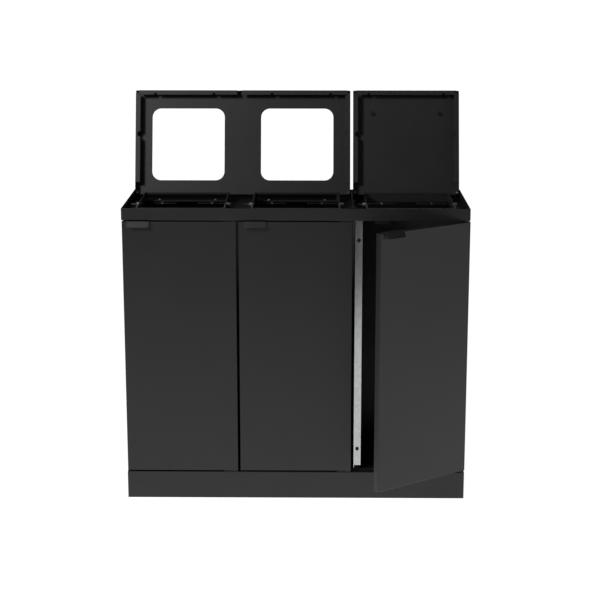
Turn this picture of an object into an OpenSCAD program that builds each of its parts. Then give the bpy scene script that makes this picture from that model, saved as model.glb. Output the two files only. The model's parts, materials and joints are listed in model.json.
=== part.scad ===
// Three-bay recycling station in folded sheet steel: a plinth, a carcass with three doors on pivot pins,
// and a shallow top tray that holds three bag collars under two lifting lids.
// Millimetres. +X is to the right, +Y to the back and +Z up.
// The origin is on the floor under the cabinet's middle.

/* [Cabinet] */
// Overall width of the tray and plinth
cab_w = 1030; // [1000:10:1200]
// Depth from the door faces to the back
cab_d = 360; // [355:5:400]
// Height of the tray's rim above the floor
rim_z = 900; // [820:10:1000]
// Height of the plinth
plinth_h = 84; // [70:2:100]
// Height of the tray's outer band
band_h = 36; // [36:1:40]
// Thickness of the folded sheet steel
sheet = 1.5; // [1.2:0.1:1.6]

/* [Doors] */
// Gap between neighbouring doors
door_gap = 7; // [6:0.5:8]
// Gap above and below a door
door_reveal = 4; // [4:0.5:6]
// Thickness of a door over its folded edges
door_t = 20; // [19:1:22]
// Angle at which the right-hand door stands open
door_ajar = 36; // [0:1:90]
// Width of a finger pull
pull_w = 65; // [40:5:100]

/* [Lids] */
// How far the open lids lean back past upright, in degrees
lid_lean = 16; // [0:1:16]
// Height of a lid's folded walls
lid_wall = 25; // [24:0.5:26]
// Side of the square feed openings
feed_w = 228; // [160:4:232]
// Corner radius of the feed openings
feed_r = 28; // [10:1:60]

/* [Bag collars] */
// Width of a bag collar
collar_w = 264; // [240:2:266]
// Height of a bag collar above the tray's deck
collar_rise = 27; // [24:1:27]
// Diameter of the bag clamps' wire
wire_d = 4; // [3:0.5:4.5]

/* [Hidden] */
$fn = 48;

black = [0.13, 0.13, 0.14];
galvanised = [0.72, 0.74, 0.75];
zinc = [0.80, 0.80, 0.82];
rubber = [0.07, 0.07, 0.07];
dark_steel = [0.22, 0.22, 0.23];
nylon = [0.10, 0.10, 0.10];

// Cabinet
half_w = cab_w / 2;
front_y = -cab_d / 2;
back_y = cab_d / 2;
bay_w = cab_w / 3;
BAYS = [-1, 0, 1];
fold_r = 2;
tray_z = rim_z - band_h;
flange_w = 25;
front_flange_w = 30;
hem_t = 4;
hem_h = 12;
carcass_inset = 3;
carcass_front = front_y + door_t + 5;
panel_flange = 20;
side_screw_y = 110;
partition_screw_y = 90;
partition_tray_y = [front_y + 26, back_y - 15];
partition_web = 1.5;
partition_right_of_centre = 16;
anchor_y = 60;
anchor_r = 4.5;
foot_stud_r = 4;
rivet_hole_r = 2.1;

// Doors
door_side_inset = 1.5;
door_w = (cab_w - 2 * door_side_inset - 2 * door_gap) / 3;
door_bottom = plinth_h + door_reveal;
door_top = tray_z - door_reveal;
door_h = door_top - door_bottom;
door_return = 20;
pivot_in = 10;
pivot_back = 9;
pivot_y = front_y + pivot_back;
pin_r = 4;
pin_len = 12;
bush_r = 6;
plate_t = 2.5;
running = 0.05;
pull_start = 16;
pull_t = 2;
pull_proud = 5;
pull_lip = 19;
pull_lean = 32;
pull_rivet_y = 10;
pull_rivet_x = [12, pull_w - 12];
pull_rivet_r = 1.55;
plate_screw_dx = [-13, -25];
plate_screw_y = pivot_y + 2;
plate_screw_r = 2.1;
buffer_z = [door_bottom + 64, door_top - 59];

// Lids: the pin line and what hangs on it
lid_top = rim_z + 3;
pin_z = rim_z - 5;
pin_y = back_y - 30;
over_pin = lid_top - pin_z;
lid_tail = 6;
lid_reach = pin_y - front_y - 9.5;
lid_gap = 2.5;
lid_return = 15;
lid_front_return = 14;
lid_open = 90 + lid_lean;
divider_x = bay_w / 2;
divider_t = 3;
lid_from_divider = 4.5;
inner_wall = half_w - hem_t;
lid_floor = over_pin - lid_wall;
plug_from_front = 70;
divider_rivet_x = divider_x - divider_t / 2 + 9;
m6_r = 3;
m6_flats = 10;

// Tray deck, collars and clamps
deck_z = rim_z - 28;
collar_front = front_y + 33;
collar_back = back_y - 55;
collar_top = deck_z + collar_rise;
collar_bottom = deck_z - 3;
strip = 2;
bead_r = 2.8;
edge_x = (collar_w - strip) / 2;
clamp_y = front_y + 148;
clamp_z = rim_z - 13;
wire_z = rim_z - 6.5;
strip_top = wire_z - wire_d / 2 - 0.2;
clamp_leg = edge_x + bead_r + 0.8 + wire_d / 2;
clamp_eye = wire_d / 2 + 0.3;
clamp_jog = 20;
bolt_out = [26, 13];

function bay_x(i) = i * bay_w;
function door_right_edge(i) = i * (door_w + door_gap) + door_w / 2;
function pivot_x(i) = door_right_edge(i) - pivot_in;
function door_angle(i) = i == 1 ? door_ajar : 0;

// ---- helpers ----

module slab(low, high) {
    translate(low) cube(high - low);
}

module rod_x(x0, x1, y, z, r) {
    translate([x0, y, z]) rotate([0, 90, 0]) cylinder(h = x1 - x0, r = r);
}

module rod_y(y0, y1, x, z, r) {
    translate([x, y0, z]) rotate([-90, 0, 0]) cylinder(h = y1 - y0, r = r);
}

module rod_z(z0, z1, x, y, r) {
    translate([x, y, z0]) cylinder(h = z1 - z0, r = r);
}

// A hexagon of the given width across flats, along +X from the origin
module hex_x(flats, length) {
    rotate([0, 90, 0]) cylinder(h = length, r = flats / sqrt(3), $fn = 6);
}

// A rectangle with every corner round
module round_rect(w, h, r) {
    square([w - 2 * r, h], center = true);
    square([w, h - 2 * r], center = true);
    for (x = [-1, 1], y = [-1, 1])
        translate([x * (w / 2 - r), y * (h / 2 - r)]) circle(r = r);
}

// A square-cornered profile whose two corners at y = 0 are round, for a bent sheet seen along its folds
module bent_profile(w, d, r) {
    translate([r, 0]) square([w - 2 * r, d]);
    translate([0, r]) square([w, d - r]);
    for (x = [r, w - r]) translate([x, r]) circle(r = r);
}

// A block w x d x h from the origin, its four edges around the y = 0 face folded to a radius
module bent_block(w, d, h, r) {
    intersection() {
        linear_extrude(h) bent_profile(w, d, r);
        translate([w, 0, 0]) rotate([0, -90, 0]) linear_extrude(w) bent_profile(h, d, r);
    }
}

// The end view of a body w wide and h high, with round lower and upper corners
module edge_profile(w, h, low_r, high_r) {
    translate([-w / 2, low_r]) square([w, h - low_r - high_r]);
    for (edge = [[0, low_r, low_r], [h - high_r, high_r, h - high_r]]) {
        translate([-w / 2 + edge[1], edge[0]]) square([w - 2 * edge[1], edge[1]]);
        for (side = [-1, 1]) translate([side * (w / 2 - edge[1]), edge[2]]) circle(r = edge[1]);
    }
}

// A block the size of the cabinet's plan, with its upright corners and its long edges bent to a radius
module bent_body(h, low_r, high_r) {
    intersection() {
        linear_extrude(h) round_rect(cab_w, cab_d, 3);
        translate([-half_w - 1, 0, 0]) rotate([90, 0, 90]) linear_extrude(cab_w + 2)
            edge_profile(cab_d, h, low_r, high_r);
        translate([0, back_y + 1, 0]) rotate([90, 0, 0]) linear_extrude(cab_d + 2)
            edge_profile(cab_w, h, low_r, high_r);
    }
}

// The plan of the cabinet less a margin, as a box from one height to another
module inset_box(side, front, back, z0, z1) {
    slab([-half_w + side, front_y + front, z0], [half_w - side, back_y - back, z1]);
}

// A pan-head screw whose head rises from the origin along +Z
module pan_screw(head_r, head_h, shank_r, shank_len) {
    difference() {
        union() {
            cylinder(h = head_h * 0.55, r = head_r);
            translate([0, 0, head_h * 0.55])
                cylinder(h = head_h * 0.45, r1 = head_r, r2 = head_r * 0.72);
            translate([0, 0, -shank_len]) cylinder(h = shank_len, r = shank_r);
        }
        translate([0, 0, head_h * 0.4]) cylinder(h = head_h, r = head_r * 0.36, $fn = 6);
    }
}

// ---- base and carcass ----

module plinth() {
    foot_plate = [90, 80];
    color(black) difference() {
        union() {
            difference() {
                bent_body(plinth_h, 1, fold_r);
                inset_box(2, 2, 2, 2, plinth_h - 2);
                inset_box(flange_w, flange_w, flange_w, -1, 3);
                inset_box(flange_w, front_flange_w, flange_w, plinth_h - 3, plinth_h + 1);
            }
            for (x = [-1, 1], y = [-1, 1])
                translate([x > 0 ? half_w - 2 - foot_plate.x : -half_w + 2,
                           y > 0 ? back_y - 2 - foot_plate.y : front_y + 2, 44])
                    cube([foot_plate.x, foot_plate.y, 3]);
        }
        for (x = [-1, 1], y = [-1, 1]) {
            rod_z(40, 50, x * foot_x(), y * foot_y(), foot_stud_r + 0.2);
            rod_z(-1, 3, x * (half_w - flange_w / 2), y * anchor_y, anchor_r);
            rod_z(plinth_h - 3, plinth_h + 1, x * screw_edge_x(), y * side_screw_y, screw_hole_r);
        }
    }
}

function foot_x() = half_w - 65;
function foot_y() = cab_d / 2 - 50;

// Where the carcass screws stand: [x, y] at the sides, and the partitions' flanges
screw_hole_r = 2.2;
function screw_edge_x() = half_w - 13;
function partition_mid(side) = side * divider_x + partition_right_of_centre;
function floor_screw_places() = [for (x = [-1, 1], y = [-1, 1])
    [x * screw_edge_x(), y * side_screw_y]];
function partition_screw_places() = [for (side = [-1, 1], y = [-1, 1])
    [partition_mid(side), y * partition_screw_y]];
function tray_screw_places() = concat(floor_screw_places(),
    [for (side = [-1, 1], y = partition_tray_y) [partition_mid(side), y]]);

module levelling_feet() {
    color(rubber) for (x = [-1, 1], y = [-1, 1]) translate([x * foot_x(), y * foot_y(), 0]) {
        cylinder(h = 4, r = 16);
        translate([0, 0, 4]) cylinder(h = 5, r1 = 16, r2 = 9);
        cylinder(h = 66, r = foot_stud_r);
        translate([0, 0, 37.5]) cylinder(h = 6.5, r = 13 / sqrt(3), $fn = 6);
    }
}

module floor_panel() {
    inset = carcass_inset + sheet + 0.2;
    z = plinth_h + sheet;
    corner = inset + panel_flange - sheet;
    color(black) difference() {
        slab([-half_w + inset, carcass_front - 1, z],
             [half_w - inset, back_y - 2 * sheet - 0.2, z + sheet]);
        // corners that clear the side panels' front edges
        for (side = [0, 1]) mirror([side, 0, 0])
            slab([half_w - corner, carcass_front - 2, z - 1],
                 [half_w, carcass_front + sheet + 0.2, z + sheet + 1]);
        for (p = concat(floor_screw_places(), partition_screw_places()))
            rod_z(z - 1, z + sheet + 1, p.x, p.y, screw_hole_r);
    }
}

module side_panel() {
    outer = -half_w + carcass_inset;
    color(black) difference() {
        slab([outer, carcass_front, plinth_h], [outer + panel_flange, back_y - sheet, tray_z]);
        slab([outer + sheet, carcass_front + sheet, plinth_h + sheet],
             [outer + panel_flange + 1, back_y - 2 * sheet, tray_z - sheet]);
        for (y = [-side_screw_y, side_screw_y])
            rod_z(plinth_h - 1, tray_z + 1, -screw_edge_x(), y, screw_hole_r);
        for (z = back_screw_heights()) rod_y(back_y - 5, back_y, -screw_edge_x(), z, screw_hole_r);
    }
}

module side_panel_left() {
    side_panel();
}

module side_panel_right() {
    mirror([1, 0, 0]) side_panel();
}

module back_panel() {
    edge = half_w - carcass_inset;
    color(black) difference() {
        slab([-edge, back_y - sheet, plinth_h], [edge, back_y, tray_z]);
        for (p = back_screw_places()) rod_y(back_y - 5, back_y + 1, p.x, p.y, screw_hole_r);
    }
}

function back_screw_heights() = [for (k = [0:4]) plinth_h + 40 + k * (tray_z - plinth_h - 80) / 4];
function back_screw_places() = [for (side = [-1, 1], z = back_screw_heights(),
                                     x = [side * screw_edge_x(), partition_mid(side)]) [x, z]];

module back_panel_screws() {
    color(zinc) for (p = back_screw_places())
        translate([p.x, back_y, p.y]) rotate([-90, 0, 0]) pan_screw(4, 2, 2, 6);
}

// A galvanised partition: an upright web with flanges turned to the right all round
module partition(side) {
    web = partition_web;
    low = plinth_h + 2 * sheet;
    y0 = front_y + 22;
    y1 = back_y - 2 * sheet;
    reach = 21.5;
    toe = 12;
    mid = partition_mid(side);
    x = mid - 10.7;
    color(galvanised) difference() {
        union() {
            slab([x, y0, low], [x + web, y1, tray_z]);
            slab([x, y0, low + toe], [x + reach, y0 + web, tray_z - door_reveal]);
            slab([x, y1 - web, low], [x + reach - 2, y1, tray_z]);
            slab([x, y0 + 8, low], [x + reach - 2, y1, low + web]);
            slab([x, y0, tray_z - web], [x + reach - 2, y1, tray_z]);
        }
        for (z = buffer_z) rod_y(y0 - 1, y0 + 3, mid, z, 2);
        for (z = back_screw_heights()) rod_y(y1 - 3, y1 + 1, mid, z, screw_hole_r);
        for (y = [-1, 1]) rod_z(low - 1, low + 3, mid, y * partition_screw_y, screw_hole_r);
        for (y = partition_tray_y) rod_z(tray_z - 3, tray_z + 1, mid, y, screw_hole_r);
    }
}

module partition_left() {
    partition(-1);
}

module partition_right() {
    partition(1);
}

// The screws that tie the side panels and partitions to the floor, and the tray to all four
module carcass_screws() {
    color(zinc) {
        for (p = floor_screw_places()) translate([p.x, p.y, plinth_h + 2 * sheet]) pan_screw(4, 2, 2, 8);
        for (p = partition_screw_places())
            translate([p.x, p.y, plinth_h + 2 * sheet + partition_web]) pan_screw(4, 2, 2, 8);
        for (p = tray_screw_places())
            translate([p.x, p.y, tray_z - sheet]) rotate([180, 0, 0]) pan_screw(4, 2, 2, 5);
    }
}

// Rubber buffers that the doors' free edges close against
module door_buffers() {
    gap = 0.3;
    color(rubber) for (z = buffer_z) {
        for (side = [-1, 1])
            buffer_y(partition_mid(side), z, front_y + door_t + gap, front_y + 22);
        buffer_y(-half_w + carcass_inset + 10, z, front_y + door_t + gap, carcass_front);
    }
}

module buffer_y(x, z, y0, y1) {
    difference() {
        rod_y(y0, y1, x, z, 5.5);
        rod_y(y0 - 1, y0 + (y1 - y0) / 2, x, z, 2);
    }
}

// ---- door pivots ----

module pivot_plate(i, z) {
    difference() {
        translate([pivot_x(i) - 32, front_y + 2, z]) cube([41, 20, plate_t]);
        for (dx = plate_screw_dx)
            rod_z(z - 1, z + plate_t + 1, pivot_x(i) + dx, plate_screw_y, plate_screw_r);
    }
}

module bottom_pivot_plates() {
    color(black) for (i = BAYS) pivot_plate(i, plinth_h);
}

module top_pivot_plates() {
    color(black) for (i = BAYS) pivot_plate(i, tray_z - plate_t);
}

module pivot_pins() {
    color(dark_steel) for (i = BAYS) {
        rod_z(plinth_h + plate_t, door_bottom + pin_len, pivot_x(i), pivot_y, pin_r);
        rod_z(door_top - pin_len, tray_z - plate_t, pivot_x(i), pivot_y, pin_r);
    }
}

// Flat-head screws, flush with the plates
module pivot_plate_screws() {
    color(zinc) for (i = BAYS, dx = plate_screw_dx, z = [plinth_h, tray_z - plate_t])
        rod_z(z, z + plate_t, pivot_x(i) + dx, plate_screw_y, plate_screw_r);
}

module magnet_catches() {
    color(rubber) for (i = BAYS)
        translate([door_right_edge(i) - door_w + 60, front_y + door_t + 0.6, tray_z - 14]) {
            cube([46, 9, 14]);
            for (x = [4, 36]) translate([x, -0.3, 3]) cube([6, 0.3, 8]);
        }
}

// ---- top tray ----

// The tray's bent band, with a hemmed rim, a flange turned in underneath and a lip along the rear rim
module top_tray() {
    rear_lip = 20;
    color(black) difference() {
        union() {
            translate([0, 0, tray_z]) difference() {
                bent_body(band_h, fold_r, fold_r);
                inset_box(sheet, sheet, sheet, sheet, band_h - hem_h);
                inset_box(hem_t, hem_t, hem_t, band_h - hem_h - 1, band_h + 1);
                inset_box(flange_w, front_flange_w, flange_w, -1, sheet + 1);
            }
            slab([-half_w + 2 * hem_t, back_y - rear_lip, rim_z - sheet],
                 [half_w - 2 * hem_t, back_y - hem_t / 2, rim_z]);
        }
        for (p = tray_screw_places()) rod_z(tray_z - 1, tray_z + sheet + 1, p.x, p.y, screw_hole_r);
    }
}

module tray_deck() {
    side = half_w - sheet - 0.2;
    front = front_y + sheet + 0.2;
    rear = back_y - sheet - 0.2;
    color(black) difference() {
        slab([-side, front, tray_z + sheet], [side, rear, deck_z]);
        slab([-side + sheet, front + sheet, tray_z],
             [side - sheet, rear - sheet, deck_z - sheet]);
        for (y = divider_rivet_places())
            rod_z(deck_z - 3, deck_z + 1, divider_rivet_x, y, rivet_hole_r);
        for (i = BAYS) {
            translate([bay_x(i), collar_mid_y(), deck_z - sheet - 1])
                linear_extrude(sheet + 2) round_rect(collar_w + 4, collar_back - collar_front + 4, 6);
            for (p = collar_tab_places()) rod_z(deck_z - 3, deck_z + 1, bay_x(i) + p.x, p.y, 1.7);
        }
    }
}

function collar_mid_y() = (collar_front + collar_back) / 2;

module lid_divider() {
    y0 = front_y + hem_t + 0.3;
    y1 = back_y - 20.3;
    x0 = divider_x - divider_t / 2;
    color(black) difference() {
        union() {
            slab([x0, y0, deck_z], [x0 + divider_t, y1, lid_top]);
            slab([x0, y0 + 12, deck_z], [x0 + 14, y1 - 12, deck_z + 2]);
        }
        rod_x(x0 - 1, x0 + divider_t + 1, pin_y, pin_z, m6_r + 0.1);
        for (y = divider_rivet_places())
            rod_z(deck_z - 1, deck_z + 3, divider_rivet_x, y, rivet_hole_r);
    }
}

function divider_rivet_places() = [front_y + 50, 0, back_y - 70];

module divider_rivets() {
    color(zinc) for (y = divider_rivet_places())
        translate([divider_rivet_x, y, deck_z + 2]) {
            cylinder(h = 1.2, r1 = 3.5, r2 = 2.2);
            translate([0, 0, -3.5]) cylinder(h = 3.5, r = 2);
        }
}

// ---- bag collars and clamps ----

function collar_tab_places() = [for (x = [-88, 88], y = [collar_front - 7, collar_back + 7]) [x, y]];

// A ring of strip that stands in the deck's opening, with four fixing tabs. Behind the clamp's pivots
// its top is a rolled bead. In front of them the strip is lower, and the clamp's wire lies along it.
// Two tabs hang from the rear strip for the spring clips. The rear strip of the left and middle
// collars is open between its foot and its bead.
module collar(i) {
    depth = collar_back - collar_front;
    bead_z = collar_top - bead_r;
    rear = depth / 2 - strip / 2;
    bead_start = clamp_y - collar_mid_y() + 9;
    color(black) difference() {
        union() {
            translate([bay_x(i), collar_mid_y(), 0]) {
                difference() {
                    translate([0, 0, collar_bottom])
                        linear_extrude(bead_z - collar_bottom) round_rect(collar_w, depth, 3);
                    translate([0, 0, collar_bottom - 1]) linear_extrude(bead_z - collar_bottom + 2)
                        round_rect(collar_w - 2 * strip, depth - 2 * strip, 1);
                    slab([-collar_w, -depth, strip_top], [collar_w, bead_start, bead_z + 1]);
                    if (i < 1)
                        slab([-edge_x + 8, rear - strip, deck_z + 2],
                             [edge_x - 8, rear + strip, bead_z - 1]);
                }
                rod_x(-edge_x, edge_x, rear, bead_z, bead_r);
                for (x = [-edge_x, edge_x]) {
                    rod_y(bead_start, rear, x, bead_z, bead_r);
                    translate([x, rear, bead_z]) sphere(r = bead_r);
                    translate([x, bead_start, bead_z]) sphere(r = bead_r);
                }
                for (x = clip_places())
                    slab([x - 5, rear - 1, clip_z() - 5], [x + 5, rear + 1, deck_z]);
            }
            for (p = collar_tab_places())
                translate([bay_x(i) + p.x, p.y, deck_z + 1]) cube([22, 16, 2], center = true);
        }
        rod_x(bay_x(i) - collar_w, bay_x(i) + collar_w, clamp_y, clamp_z, m6_r + 0.1);
        for (p = collar_tab_places())
            rod_z(deck_z - 1, deck_z + 3, bay_x(i) + p.x, p.y, rivet_hole_r);
        for (x = clip_places())
            rod_y(collar_back - strip - 1, collar_back + 1, bay_x(i) + x, clip_z(), clip_hole_r);
    }
}

module collar_left() {
    collar(-1);
}

module collar_middle() {
    collar(0);
}

module collar_right() {
    collar(1);
}

module collar_screws() {
    color(zinc) for (i = BAYS, p = collar_tab_places())
        translate([bay_x(i) + p.x, p.y, deck_z + 2]) pan_screw(3.8, 2.4, 1.6, 5);
}

// The bolts that the bag clamps swing on, with heads inside the collars and the longer ends at the left
module clamp_pivot_bolts() {
    inner = collar_w / 2 - strip;
    color(dark_steel) for (i = BAYS, side = [-1, 1])
        translate([bay_x(i), clamp_y, clamp_z]) mirror([side < 0 ? 1 : 0, 0, 0]) {
            translate([inner - 4, 0, 0]) hex_x(m6_flats, 4);
            rod_x(inner, collar_w / 2 + bolt_out[side < 0 ? 0 : 1], 0, 0, m6_r);
        }
}

module clamp_pivot_nuts() {
    color(zinc) for (i = BAYS, side = [-1, 1])
        translate([bay_x(i), clamp_y, clamp_z]) mirror([side < 0 ? 1 : 0, 0, 0])
            translate([clamp_leg + clamp_eye + 0.4, 0, 0]) difference() {
                hex_x(m6_flats, 4.5);
                rod_x(-1, 6, 0, 0, m6_r);
            }
}

// A wire bail that lies on the collar's front edges: an eye outside each side, a rise, a jog inwards
// over the strip, a leg forward and one run across the front
module bag_clamp(i) {
    bend = 5;
    r = wire_d / 2;
    run_y = collar_front + strip / 2;
    rise = wire_z - clamp_z;
    eye_bore = m6_r + running;
    rise_y = clamp_y - eye_bore - 1.5;
    jog_y = clamp_y - clamp_jog;
    color(zinc) translate([bay_x(i), 0, 0]) for (side = [-1, 1]) {
        x = side * clamp_leg;
        inner = side * edge_x;
        difference() {
            union() {
                rod_x(x - clamp_eye, x + clamp_eye, clamp_y, clamp_z, eye_bore + 3.5);
                translate([x, rise_y, clamp_z]) cylinder(h = rise, r = r);
            }
            rod_x(x - clamp_eye - 1, x + clamp_eye + 1, clamp_y, clamp_z, eye_bore);
        }
        translate([x, rise_y, wire_z]) sphere(r = r);
        rod_y(jog_y, rise_y, x, wire_z, r);
        translate([x, jog_y, wire_z]) sphere(r = r);
        rod_x(min(x, inner), max(x, inner), jog_y, wire_z, r);
        translate([inner, jog_y, wire_z]) sphere(r = r);
        rod_y(run_y + bend, jog_y, inner, wire_z, r);
        translate([side * (edge_x - bend), run_y + bend, wire_z]) rotate([0, 0, side > 0 ? -90 : 180])
            rotate_extrude(angle = 90) translate([bend, 0]) circle(r = r);
        rod_x(side > 0 ? 0 : -edge_x + bend, side > 0 ? edge_x - bend : 0, run_y, wire_z, r);
    }
}

module bag_clamp_left() {
    bag_clamp(-1);
}

module bag_clamp_middle() {
    bag_clamp(0);
}

module bag_clamp_right() {
    bag_clamp(1);
}

// Leaf springs under each collar's rear strip, which pinch the bag's back edge. The end nearer the bay's
// middle curls back to the strip.
function clip_places() = [-78, 78];
function clip_z() = deck_z - 7;
clip_t = 1.6;
clip_h = 3.4;
clip_y = collar_back - strip - 3;
clip_pin_r = 1.5;
clip_hole_r = 1.55;

module bag_spring_clips() {
    half = 47;
    curl = 7;
    color(dark_steel) for (i = BAYS, x = clip_places())
        translate([bay_x(i) + x, clip_y, clip_z() - clip_h / 2]) mirror([x > 0 ? 1 : 0, 0, 0])
            difference() {
                union() {
                    translate([-half, -clip_t, 0]) cube([2 * half - curl, clip_t, clip_h]);
                    translate([half - curl, curl - clip_t, 0]) linear_extrude(clip_h) difference() {
                        circle(r = curl);
                        circle(r = curl - clip_t);
                        translate([-curl - 1, -curl - 1]) square([curl + 1, 2 * curl + 2]);
                        translate([-1, 0]) square([curl + 2, curl + 1]);
                    }
                }
                rod_y(-clip_t - 1, 1, 0, clip_h / 2, clip_hole_r);
            }
}

// Headed pins through the tabs and the leaf springs, with a spacer between
module spring_clip_pins() {
    color(zinc) for (i = BAYS, x = clip_places()) {
        rod_y(clip_y - clip_t, collar_back + 1, bay_x(i) + x, clip_z(), clip_pin_r);
        rod_y(clip_y - clip_t - 1.2, clip_y - clip_t, bay_x(i) + x, clip_z(), 2 * clip_pin_r);
        rod_y(clip_y, collar_back - strip, bay_x(i) + x, clip_z(), 2.6);
    }
}

// ---- lid hinges ----

function lid_left_edge() = -inner_wall + lid_gap;
function lid_mid_left() = divider_x - lid_from_divider;
function lid_mid_right() = divider_x + lid_from_divider;
function lid_right_edge() = inner_wall - lid_gap;

// A stud out of each side wall of the tray, and one bolt through the divider
module lid_hinge_studs() {
    color(zinc) {
        for (side = [-1, 1]) mirror([side > 0 ? 1 : 0, 0, 0])
            rod_x(-inner_wall, lid_left_edge() + 8.5, pin_y, pin_z, m6_r);
        rod_x(lid_mid_left() - 2, lid_mid_right() + 8.5, pin_y, pin_z, m6_r);
        translate([lid_mid_left() - 6.3, pin_y, pin_z]) hex_x(m6_flats, 4.3);
    }
}

module spacer_x(x0, x1, outer_r) {
    difference() {
        rod_x(x0, x1, pin_y, pin_z, outer_r);
        rod_x(x0 - 1, x1 + 1, pin_y, pin_z, m6_r + 0.1);
    }
}

module lid_hinge_spacers() {
    gap = 0.3;
    color(nylon) {
        for (side = [-1, 1]) mirror([side > 0 ? 1 : 0, 0, 0])
            spacer_x(-inner_wall, lid_left_edge() - gap, 5);
        spacer_x(lid_mid_left() + gap, divider_x - divider_t / 2, 6);
        spacer_x(divider_x + divider_t / 2, lid_mid_right() - gap, 6);
    }
}

module lid_hinge_nuts() {
    gap = 0.4;
    color(zinc) {
        for (side = [-1, 1]) mirror([side > 0 ? 1 : 0, 0, 0])
            translate([lid_left_edge() + sheet + gap, pin_y, pin_z]) hinge_nut();
        translate([lid_mid_right() + sheet + gap, pin_y, pin_z]) hinge_nut();
    }
}

module hinge_nut() {
    difference() {
        hex_x(m6_flats, 5);
        rod_x(-1, 6, 0, 0, m6_r);
    }
}

// Rubber feet on the deck that the closed lids' front corners rest on
module lid_rest_buffers() {
    h = lid_top - lid_wall - deck_z - 0.3;
    edge = 24;
    color(rubber) for (x = [lid_left_edge() + edge, lid_mid_left() - edge,
                            lid_mid_right() + edge, lid_right_edge() - edge])
        translate([x, front_y + 16.5, deck_z]) difference() {
            union() {
                cylinder(h = h - 1, r = 5);
                translate([0, 0, h - 1]) cylinder(h = 1, r1 = 5, r2 = 4);
            }
            translate([0, 0, h - 2.5]) cylinder(h = 3, r = 2);
        }
}

// ---- doors ----

module hung_door(i) {
    translate([pivot_x(i), pivot_y, 0]) rotate([0, 0, door_angle(i)])
        translate([pivot_in - door_w, -pivot_back, 0]) children();
}

// A folded pan, open at the back, with its edges returned
module door_panel(i) {
    hinge_x = door_w - pivot_in;
    color(black) hung_door(i) difference() {
        translate([0, 0, door_bottom]) bent_block(door_w, door_t, door_h, fold_r);
        slab([sheet, sheet, door_bottom + sheet], [door_w - sheet, door_t - sheet, door_top - sheet]);
        slab([door_return, door_t / 2, door_bottom + door_return],
             [door_w - door_return, door_t + 1, door_top - door_return]);
        rod_z(door_bottom - 1, door_bottom + sheet + 1, hinge_x, pivot_back, bush_r + 0.1);
        rod_z(door_top - sheet - 1, door_top + 1, hinge_x, pivot_back, bush_r + 0.1);
        for (dx = pull_rivet_x)
            rod_z(door_top - sheet - 1, door_top + 1, pull_start + dx, pull_rivet_y,
                  pull_rivet_r + 0.05);
    }
}

// A hat-section channel down the middle of the door's inner face
module door_stiffener(i) {
    hat = 50;
    brim = 14;
    deep = 12;
    t = 1.2;
    ends = 45;
    color(black) hung_door(i) translate([door_w / 2, sheet, 0]) {
        for (side = [-1, 1]) mirror([side < 0 ? 1 : 0, 0, 0]) {
            slab([hat / 2, 0, door_bottom + ends], [hat / 2 + brim, t, door_top - ends]);
            slab([hat / 2 - t, 0, door_bottom + ends], [hat / 2, deep, door_top - ends]);
        }
        slab([-hat / 2, deep - t, door_bottom + ends], [hat / 2, deep, door_top - ends]);
    }
}

// A finger pull bent over the door's top edge, whose lip slopes outwards to leave room for fingers
module door_pull(i) {
    r = 4;
    color(black) hung_door(i) translate([pull_start, 0, door_top]) difference() {
        union() {
            slab([0, -pull_proud + pull_t, 0], [pull_w, 16, pull_t]);
            translate([0, -pull_proud + pull_t, 0]) rotate([-pull_lean, 0, 0]) {
                intersection() {
                    translate([pull_w / 2, 0, 0])
                        rotate([90, 0, 0]) linear_extrude(pull_t) round_rect(pull_w, 2 * pull_lip, r);
                    slab([0, -pull_t - 1, -pull_lip - 1], [pull_w, 1, 0]);
                }
                rod_x(0, pull_w, 0, 0, pull_t);
            }
        }
        for (dx = pull_rivet_x) rod_z(-1, pull_t + 1, dx, pull_rivet_y, pull_rivet_r + 0.05);
    }
}

module door_bush() {
    difference() {
        union() {
            cylinder(h = 14, r = bush_r);
            translate([0, 0, -1]) cylinder(h = 1, r = bush_r + 2);
        }
        translate([0, 0, -2]) cylinder(h = 17, r = pin_r + running);
    }
}

module door_bushes(i) {
    color(nylon) hung_door(i) {
        translate([door_w - pivot_in, pivot_back, door_bottom]) door_bush();
        translate([door_w - pivot_in, pivot_back, door_top]) mirror([0, 0, 1]) door_bush();
    }
}

module pull_rivets(i) {
    color(black) hung_door(i) for (dx = pull_rivet_x)
        translate([pull_start + dx, pull_rivet_y, door_top + pull_t]) {
            cylinder(h = 1, r1 = 3, r2 = 2);
            translate([0, 0, -pull_t - sheet]) cylinder(h = pull_t + sheet, r = pull_rivet_r);
        }
}

module door_left_panel() {
    door_panel(-1);
}

module door_left_stiffener() {
    door_stiffener(-1);
}

module door_left_pull() {
    door_pull(-1);
}

module door_left_pull_rivets() {
    pull_rivets(-1);
}

module door_left_bushes() {
    door_bushes(-1);
}

module door_middle_panel() {
    door_panel(0);
}

module door_middle_stiffener() {
    door_stiffener(0);
}

module door_middle_pull() {
    door_pull(0);
}

module door_middle_pull_rivets() {
    pull_rivets(0);
}

module door_middle_bushes() {
    door_bushes(0);
}

module door_right_panel() {
    door_panel(1);
}

module door_right_stiffener() {
    door_stiffener(1);
}

module door_right_pull() {
    door_pull(1);
}

module door_right_pull_rivets() {
    pull_rivets(1);
}

module door_right_bushes() {
    door_bushes(1);
}

// ---- lids, drawn closed about their pin line and then swung open ----

module hung_lid() {
    translate([0, pin_y, pin_z]) rotate([-lid_open, 0, 0]) children();
}

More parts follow.
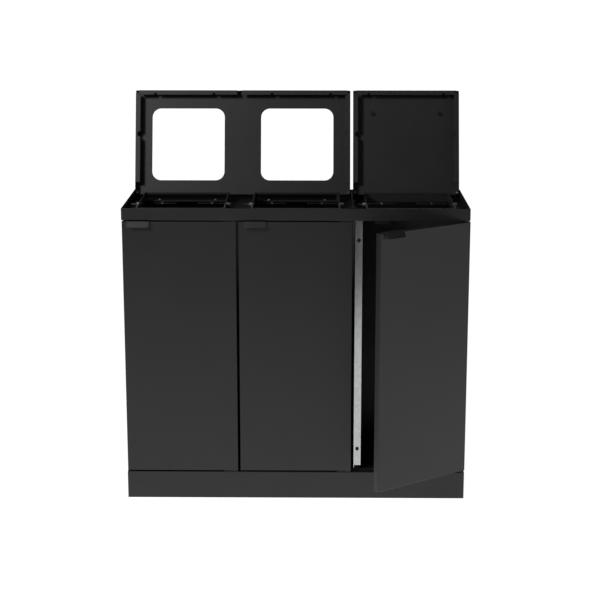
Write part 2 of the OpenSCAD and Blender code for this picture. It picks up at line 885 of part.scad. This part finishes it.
// A lid's outline seen along X: bent at the front, with its tail cut away under the pin
module lid_side_outline() {
    tail_drop = 6;
    tail_cut = 5;
    difference() {
        union() {
            translate([-lid_reach, lid_floor]) square([lid_reach + lid_tail, lid_wall - fold_r]);
            translate([-lid_reach + fold_r, lid_floor])
                square([lid_reach + lid_tail - fold_r, lid_wall]);
            translate([-lid_reach + fold_r, over_pin - fold_r]) circle(r = fold_r);
        }
        polygon([[lid_tail + 1, -tail_drop], [lid_tail, -tail_drop], [-tail_cut, lid_floor],
                 [-tail_cut, lid_floor - 1], [lid_tail + 1, lid_floor - 1]]);
    }
}

// A folded lid pan between two places on X, with its edges returned inwards underneath
module lid_pan(x0, x1) {
    w = x1 - x0;
    notch_y = clamp_y - pin_y;
    notch_r = 9;
    relief = 2.5;
    relief_r = 6.5;
    mitre = 1.4;
    pin_clear = 30;
    difference() {
        intersection() {
            translate([x0, 0, 0]) rotate([90, 0, 90]) linear_extrude(w) lid_side_outline();
            translate([x0, lid_tail, over_pin]) rotate([90, 0, 0])
                linear_extrude(lid_reach + lid_tail) mirror([0, 1]) bent_profile(w, lid_wall, fold_r);
        }
        // the hollow of the pan, above its returned edges
        slab([x0 + sheet, -lid_reach + sheet, lid_floor + sheet],
             [x1 - sheet, lid_tail + 1, over_pin - sheet]);
        // the mouth between the returned edges, which stop short of the pins
        slab([x0 + lid_return, -lid_reach + lid_front_return, lid_floor - 1],
             [x1 - lid_return, lid_tail + 1, lid_floor + sheet + 1]);
        slab([x0 + sheet, -pin_clear, lid_floor - 1], [x1 - sheet, lid_tail + 1, lid_floor + sheet + 1]);
        // notches that clear the ends of the clamps' bolts
        for (x = [x0 + lid_return, x1 - lid_return])
            rod_z(lid_floor - 1, lid_floor + sheet + 1, x, notch_y, notch_r);
        // mitres where the returned edges meet, and the reliefs at the corners
        for (corner = [[x0, 1], [x1, -1]]) translate([corner.x, -lid_reach, lid_floor - 1]) {
            rotate([0, 0, 90 - corner.y * 45]) translate([0, -mitre / 2, 0])
                cube([lid_return * sqrt(2) + 1, mitre, sheet + 1.5]);
            translate([corner.y * relief, relief, 0]) cylinder(h = 6, r = relief_r);
        }
        for (x = [x0, x1]) rod_x(x - 2, x + 2, 0, 0, m6_r + running);
    }
}

// Half-round notches in the front returned edge
module front_edge_notches(xs) {
    notch_r = 5;
    for (x = xs)
        rod_z(lid_floor - 1, lid_floor + sheet + 1, x, -lid_reach + lid_front_return - 1, notch_r);
}

module feed_opening(x) {
    from_pin = 38.6;
    translate([x, -from_pin - feed_w / 2, over_pin - sheet - 1])
        linear_extrude(sheet + 2) round_rect(feed_w, feed_w, feed_r);
}

module lid_double_panel() {
    x0 = lid_left_edge();
    x1 = lid_mid_left();
    mid = (x0 + x1) / 2;
    color(black) hung_lid() difference() {
        lid_pan(x0, x1);
        for (i = [-1, 0]) feed_opening(bay_x(i));
        front_edge_notches([mid - 276, mid - 92, mid + 92, mid + 276]);
        slab([mid - 18, -lid_reach - 1, lid_floor - 1],
             [mid - 5, -lid_reach + lid_front_return + 1, lid_floor + sheet + 3]);
    }
}

module lid_single_panel() {
    x0 = lid_mid_right();
    x1 = lid_right_edge();
    mid = (x0 + x1) / 2;
    color(black) hung_lid() difference() {
        lid_pan(x0, x1);
        front_edge_notches([mid - 117, mid + 117]);
        for (x = single_plug_places())
            rod_z(0, over_pin + 1, x, -lid_reach + plug_from_front, 4.1);
    }
}

function single_plug_places() = [for (side = [-105, 105]) bay_w + side];

// Round plugs in the single lid, each a flush head above and a cup below
module lid_single_plugs() {
    color(rubber) hung_lid() for (x = single_plug_places())
        translate([x, -lid_reach + plug_from_front, over_pin]) {
            cylinder(h = 0.8, r1 = 6, r2 = 5);
            translate([0, 0, -sheet]) cylinder(h = sheet, r = 4);
            translate([0, 0, -sheet - 6]) difference() {
                cylinder(h = 6, r1 = 5.5, r2 = 7.5);
                translate([0, 0, -1]) cylinder(h = 5.5, r = 3.6);
            }
        }
}

plinth();
levelling_feet();
floor_panel();
side_panel_left();
side_panel_right();
back_panel();
back_panel_screws();
partition_left();
partition_right();
carcass_screws();
door_buffers();
magnet_catches();
bottom_pivot_plates();
top_pivot_plates();
pivot_pins();
pivot_plate_screws();
top_tray();
tray_deck();
lid_divider();
divider_rivets();
collar_left();
collar_middle();
collar_right();
collar_screws();
clamp_pivot_bolts();
clamp_pivot_nuts();
bag_spring_clips();
spring_clip_pins();
lid_hinge_studs();
lid_hinge_spacers();
lid_hinge_nuts();
lid_rest_buffers();
door_left_panel();
door_left_stiffener();
door_left_pull();
door_left_pull_rivets();
door_left_bushes();
door_middle_panel();
door_middle_stiffener();
door_middle_pull();
door_middle_pull_rivets();
door_middle_bushes();
door_right_panel();
door_right_stiffener();
door_right_pull();
door_right_pull_rivets();
door_right_bushes();
lid_double_panel();
lid_single_panel();
lid_single_plugs();
bag_clamp_left();
bag_clamp_middle();
bag_clamp_right();
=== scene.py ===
"""Looks for the three-bay recycling station: materials, a pale studio, light and the camera.

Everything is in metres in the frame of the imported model, which holds the shapes and the motion.
"""
import json
import math

import bpy
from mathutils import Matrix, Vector


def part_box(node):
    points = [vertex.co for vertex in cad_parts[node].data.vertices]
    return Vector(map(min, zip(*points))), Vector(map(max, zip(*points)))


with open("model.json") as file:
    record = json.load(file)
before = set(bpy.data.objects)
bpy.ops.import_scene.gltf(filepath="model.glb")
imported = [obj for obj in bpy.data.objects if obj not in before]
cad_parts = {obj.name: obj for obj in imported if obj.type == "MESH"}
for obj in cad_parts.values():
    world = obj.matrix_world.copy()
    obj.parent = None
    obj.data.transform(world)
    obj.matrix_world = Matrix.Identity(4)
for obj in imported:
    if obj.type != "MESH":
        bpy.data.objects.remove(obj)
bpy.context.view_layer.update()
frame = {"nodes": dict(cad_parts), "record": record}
NODES = frame["nodes"]

PLINTH_LOW, PLINTH_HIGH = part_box("plinth")
RIM_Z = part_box("top_tray")[1].z
MIDDLE = Vector(((PLINTH_LOW.x + PLINTH_HIGH.x) / 2, PLINTH_LOW.y, 0))

# The camera's place from the middle of the plinth's front edge, and how it is turned
CAMERA_OFFSET = (0.064, -4.483, 1.674)
CAMERA_PITCH = 13.18
CAMERA_YAW = -0.65
CAMERA_LENS = 92.7
SENSOR_WIDTH = 36

# The floor disc, and the strength of the white surround in reflections and as the camera sees it
FLOOR_REACH = 2.6
FLOOR_STEPS = 96
SURROUND_REFLECTED = 0.08
SURROUND_SEEN = 1.05

# Each softbox: its name, place, size and power
SOFTBOXES = (
    ("key_upper_left", (-2.8, -3.0, 3.4), (1.1, 1.1), 165),
    ("side_right", (3.8, -1.6, 1.1), (1.8, 1.6), 20),
)


# ---- node helpers ----

class Graph:
    """A material's node tree with short calls for the nodes that this scene uses."""

    def __init__(self, name):
        self.material = bpy.data.materials.new(name)
        self.material.use_nodes = True
        self.tree = self.material.node_tree
        self.shader = next(n for n in self.tree.nodes if n.type == "BSDF_PRINCIPLED")
        self.place = self.node("ShaderNodeTexCoord").outputs["Object"]

    def node(self, kind, **settings):
        made = self.tree.nodes.new(kind)
        for key, value in settings.items():
            setattr(made, key, value)
        return made

    def link(self, source, target):
        self.tree.links.new(source, target)

    def set(self, **values):
        """Sets the shader's own sockets, by name with underscores for spaces."""
        for key, value in values.items():
            self.shader.inputs[key.replace("_", " ")].default_value = value

    def stretched(self, scale):
        mapping = self.node("ShaderNodeMapping")
        self.link(self.place, mapping.inputs["Vector"])
        mapping.inputs["Scale"].default_value = scale
        return mapping.outputs["Vector"]

    def noise(self, per_metre, detail=2.0, rough=0.5, vector=None):
        made = self.node("ShaderNodeTexNoise")
        self.link(vector or self.place, made.inputs["Vector"])
        made.inputs["Scale"].default_value = per_metre
        made.inputs["Detail"].default_value = detail
        made.inputs["Roughness"].default_value = rough
        return made.outputs["Fac"]

    def cells(self, per_metre, output="Color", vector=None):
        made = self.node("ShaderNodeTexVoronoi")
        self.link(vector or self.place, made.inputs["Vector"])
        made.inputs["Scale"].default_value = per_metre
        return made.outputs[output]

    def ramp(self, value, low, high, to_low=0.0, to_high=1.0):
        made = self.node("ShaderNodeMapRange")
        self.link(value, made.inputs["Value"])
        ends = {"From Min": low, "From Max": high, "To Min": to_low, "To Max": to_high}
        for key, number in ends.items():
            made.inputs[key].default_value = number
        return made.outputs["Result"]

    def blend(self, factor, colour_a, colour_b):
        """Two colours, each a constant or a socket, mixed by a socket."""
        made = self.node("ShaderNodeMix", data_type="RGBA")
        self.link(factor, made.inputs["Factor"])
        for socket, colour in ((made.inputs["A"], colour_a), (made.inputs["B"], colour_b)):
            if isinstance(colour, tuple):
                socket.default_value = (*colour, 1)
            else:
                self.link(colour, socket)
        return made.outputs["Result"]

    def colour(self, socket):
        self.link(socket, self.shader.inputs["Base Color"])

    def roughness(self, socket):
        self.link(socket, self.shader.inputs["Roughness"])

    def rounded(self, radius, flat=0.985, edge=0.90):
        """The normal with its edges rounded off, and a mask that is 1 along those edges.

        The mask comes from how far the two normals agree: none at flat or more, full at edge or less.
        """
        made = self.node("ShaderNodeBevel", samples=4)
        made.inputs["Radius"].default_value = radius
        agree = self.node("ShaderNodeVectorMath", operation="DOT_PRODUCT")
        self.link(made.outputs["Normal"], agree.inputs[0])
        self.link(self.node("ShaderNodeNewGeometry").outputs["Normal"], agree.inputs[1])
        return made.outputs["Normal"], self.ramp(agree.outputs["Value"], flat, edge)

    def bump(self, layers, normal=None):
        """Layers of (height socket, depth in metres), each pressed into the one before."""
        for height, depth in layers:
            made = self.node("ShaderNodeBump")
            self.link(height, made.inputs["Height"])
            made.inputs["Strength"].default_value = 1.0
            made.inputs["Distance"].default_value = depth
            if normal is not None:
                self.link(normal, made.inputs["Normal"])
            normal = made.outputs["Normal"]
        self.link(normal, self.shader.inputs["Normal"])


# ---- materials ----

def powder_coat():
    """Satin black powder coat: a fine orange peel, slow waves in the film and a few paler flecks."""
    g = Graph("black_powder_coat")
    tone = g.noise(7, detail=4, rough=0.6)
    film = g.blend(g.ramp(tone, 0.3, 0.7), (0.0038, 0.0038, 0.0040), (0.0054, 0.0054, 0.0057))
    flecked = g.blend(g.ramp(g.noise(1300, detail=1), 0.64, 0.74), film, (0.011, 0.011, 0.0115))
    normal, edges = g.rounded(0.0011)
    # Paler film along the edges: a painted edge highlight, broken into patches like rubbed wear.
    edge_highlight_and_wear = g.node("ShaderNodeMath", operation="MULTIPLY")
    g.link(edges, edge_highlight_and_wear.inputs[0])
    g.link(g.ramp(g.noise(55, detail=4, rough=0.7), 0.42, 0.62), edge_highlight_and_wear.inputs[1])
    g.colour(g.blend(edge_highlight_and_wear.outputs["Value"], flecked, (0.030, 0.030, 0.031)))
    g.roughness(g.ramp(g.noise(19, detail=5, rough=0.65), 0.3, 0.7, 0.45, 0.49))
    g.bump([(g.noise(620, detail=2), 0.00008), (g.noise(2400, detail=1), 0.00003)], normal)
    g.set(IOR=1.5, Specular_IOR_Level=0.5)
    return g.material


def galvanised():
    """Hot-dip galvanised sheet: frost-like crystals of differing grey, with a fine grain inside each."""
    g = Graph("galvanised_sheet")
    warp = g.stretched((1.0, 1.0, 0.7))
    crystal = g.cells(120, vector=warp)
    small = g.cells(310, vector=warp)
    split = g.node("ShaderNodeSeparateColor")
    g.link(g.blend(g.noise(60, detail=2), crystal, small), split.inputs["Color"])
    shade = split.outputs["Red"]
    g.colour(g.blend(g.ramp(shade, 0.1, 0.9), (0.42, 0.425, 0.43), (0.50, 0.505, 0.51)))
    g.roughness(g.ramp(split.outputs["Green"], 0.0, 1.0, 0.18, 0.24))
    g.bump([(shade, 0.000004), (g.noise(1500), 0.000006)])
    g.set(Metallic=0.9)
    return g.material


def zinc():
    """Bright zinc plate on drawn wire and screws."""
    g = Graph("zinc_plate")
    haze = g.noise(160, detail=4)
    g.colour(g.blend(g.ramp(haze, 0.3, 0.7), (0.56, 0.57, 0.58), (0.72, 0.73, 0.74)))
    g.roughness(g.ramp(haze, 0.3, 0.7, 0.24, 0.38))
    g.bump([(g.noise(1900), 0.00003)])
    g.set(Metallic=1.0)
    return g.material


def rubber():
    g = Graph("rubber")
    bloom = g.noise(70, detail=5)
    g.colour(g.blend(g.ramp(bloom, 0.4, 0.7), (0.0035, 0.0035, 0.0035), (0.008, 0.008, 0.008)))
    g.roughness(g.ramp(bloom, 0.3, 0.7, 0.62, 0.78))
    g.bump([(g.noise(1400, detail=3), 0.00006)])
    return g.material


def catch_plastic():
    g = Graph("catch_plastic")
    g.colour(g.blend(g.ramp(g.noise(40), 0.3, 0.7), (0.004, 0.004, 0.004), (0.007, 0.007, 0.007)))
    g.roughness(g.ramp(g.noise(90, detail=3), 0.3, 0.7, 0.38, 0.5))
    g.bump([(g.cells(1500, output="Distance"), 0.00004)])
    return g.material


def nylon():
    """Black nylon of bushes and spacers, with a fine moulded grain."""
    g = Graph("nylon")
    haze = g.ramp(g.noise(120, detail=3), 0.3, 0.7)
    g.colour(g.blend(haze, (0.007, 0.007, 0.007), (0.013, 0.013, 0.013)))
    g.roughness(g.ramp(g.noise(300), 0.3, 0.7, 0.34, 0.46))
    g.bump([(g.noise(1700), 0.00003)])
    return g.material


def dark_steel():
    """Dark oiled steel with a drawn grain along the strip."""
    g = Graph("dark_steel")
    grain = g.noise(900, detail=3, vector=g.stretched((0.04, 1.0, 1.0)))
    g.colour(g.blend(g.ramp(grain, 0.3, 0.7), (0.085, 0.085, 0.09), (0.15, 0.15, 0.155)))
    g.roughness(g.ramp(grain, 0.3, 0.7, 0.30, 0.44))
    g.bump([(grain, 0.00003)])
    g.set(Metallic=1.0)
    return g.material


def pale_floor():
    """White studio paper that glows: the black sheet reflects it, and shadows on it stay faint."""
    g = Graph("pale_floor")
    clouds = g.ramp(g.noise(1.5, detail=2), 0.3, 0.7)
    g.colour(g.blend(clouds, (0.17, 0.17, 0.17), (0.19, 0.19, 0.19)))
    g.set(Roughness=1.0, Specular_IOR_Level=0.0)
    g.set(Emission_Color=(1, 1, 1, 1), Emission_Strength=1.0)
    return g.material


MAKERS = {
    "black_powder_coat": powder_coat,
    "galvanised_sheet": galvanised,
    "zinc_plate": zinc,
    "rubber": rubber,
    "catch_plastic": catch_plastic,
    "nylon": nylon,
    "dark_steel": dark_steel,
}


def dress_nodes():
    """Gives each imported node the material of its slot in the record."""
    for plain in list(bpy.data.materials):
        bpy.data.materials.remove(plain)
    made = {slot: maker() for slot, maker in MAKERS.items()}
    for part in frame["record"]["subparts"]:
        slots = NODES[part["node"]].data.materials
        slots.clear()
        slots.append(made[part["material_slot"]])


# ---- studio ----

def floor():
    """A round sheet. Past its edge the camera sees the surround, and the doors' tops reflect less."""
    turns = [math.tau * k / FLOOR_STEPS for k in range(FLOOR_STEPS)]
    rim = [(FLOOR_REACH * math.cos(turn), FLOOR_REACH * math.sin(turn), 0) for turn in turns]
    mesh = bpy.data.meshes.new("floor")
    mesh.from_pydata(rim, [], [tuple(range(FLOOR_STEPS))])
    mesh.materials.append(pale_floor())
    piece = bpy.data.objects.new("floor", mesh)
    bpy.context.scene.collection.objects.link(piece)


def aim(thing, place, target):
    thing.location = place
    thing.rotation_mode = "QUATERNION"
    thing.rotation_quaternion = (target - place).to_track_quat("-Z", "Y")


def softbox(name, place, size, power, target):
    lamp = bpy.data.lights.new(name, "AREA")
    lamp.shape = "RECTANGLE"
    lamp.size, lamp.size_y = size
    lamp.energy = power
    thing = bpy.data.objects.new(name, lamp)
    bpy.context.scene.collection.objects.link(thing)
    aim(thing, Vector(place), target)


def studio():
    """A white surround that the camera sees in full and reflections only dimly, and the softboxes."""
    world = bpy.data.worlds.new("studio")
    world.use_nodes = True
    tree = world.node_tree
    background = tree.nodes["Background"]
    background.inputs["Color"].default_value = (1, 1, 1, 1)
    seen = tree.nodes.new("ShaderNodeLightPath").outputs["Is Camera Ray"]
    level = tree.nodes.new("ShaderNodeMapRange")
    tree.links.new(seen, level.inputs["Value"])
    level.inputs["To Min"].default_value = SURROUND_REFLECTED
    level.inputs["To Max"].default_value = SURROUND_SEEN
    tree.links.new(level.outputs["Result"], background.inputs["Strength"])
    bpy.context.scene.world = world
    heart = MIDDLE + Vector((0, 0.2, RIM_Z * 0.6))
    for name, place, size, power in SOFTBOXES:
        softbox(name, place, size, power, heart)


def camera():
    """The photograph's angle: above the rim, pitched down, with a long lens and no shift."""
    lens = bpy.data.cameras.new("camera")
    lens.sensor_width = SENSOR_WIDTH
    lens.lens = CAMERA_LENS
    thing = bpy.data.objects.new("camera", lens)
    bpy.context.scene.collection.objects.link(thing)
    place = MIDDLE + Vector(CAMERA_OFFSET)
    pitch, yaw = math.radians(CAMERA_PITCH), math.radians(CAMERA_YAW)
    along = Vector((math.sin(yaw) * math.cos(pitch), math.cos(yaw) * math.cos(pitch), -math.sin(pitch)))
    aim(thing, place, place + along)
    bpy.context.scene.camera = thing


dress_nodes()
floor()
studio()
camera()
bpy.context.scene.view_settings.view_transform = "Standard"
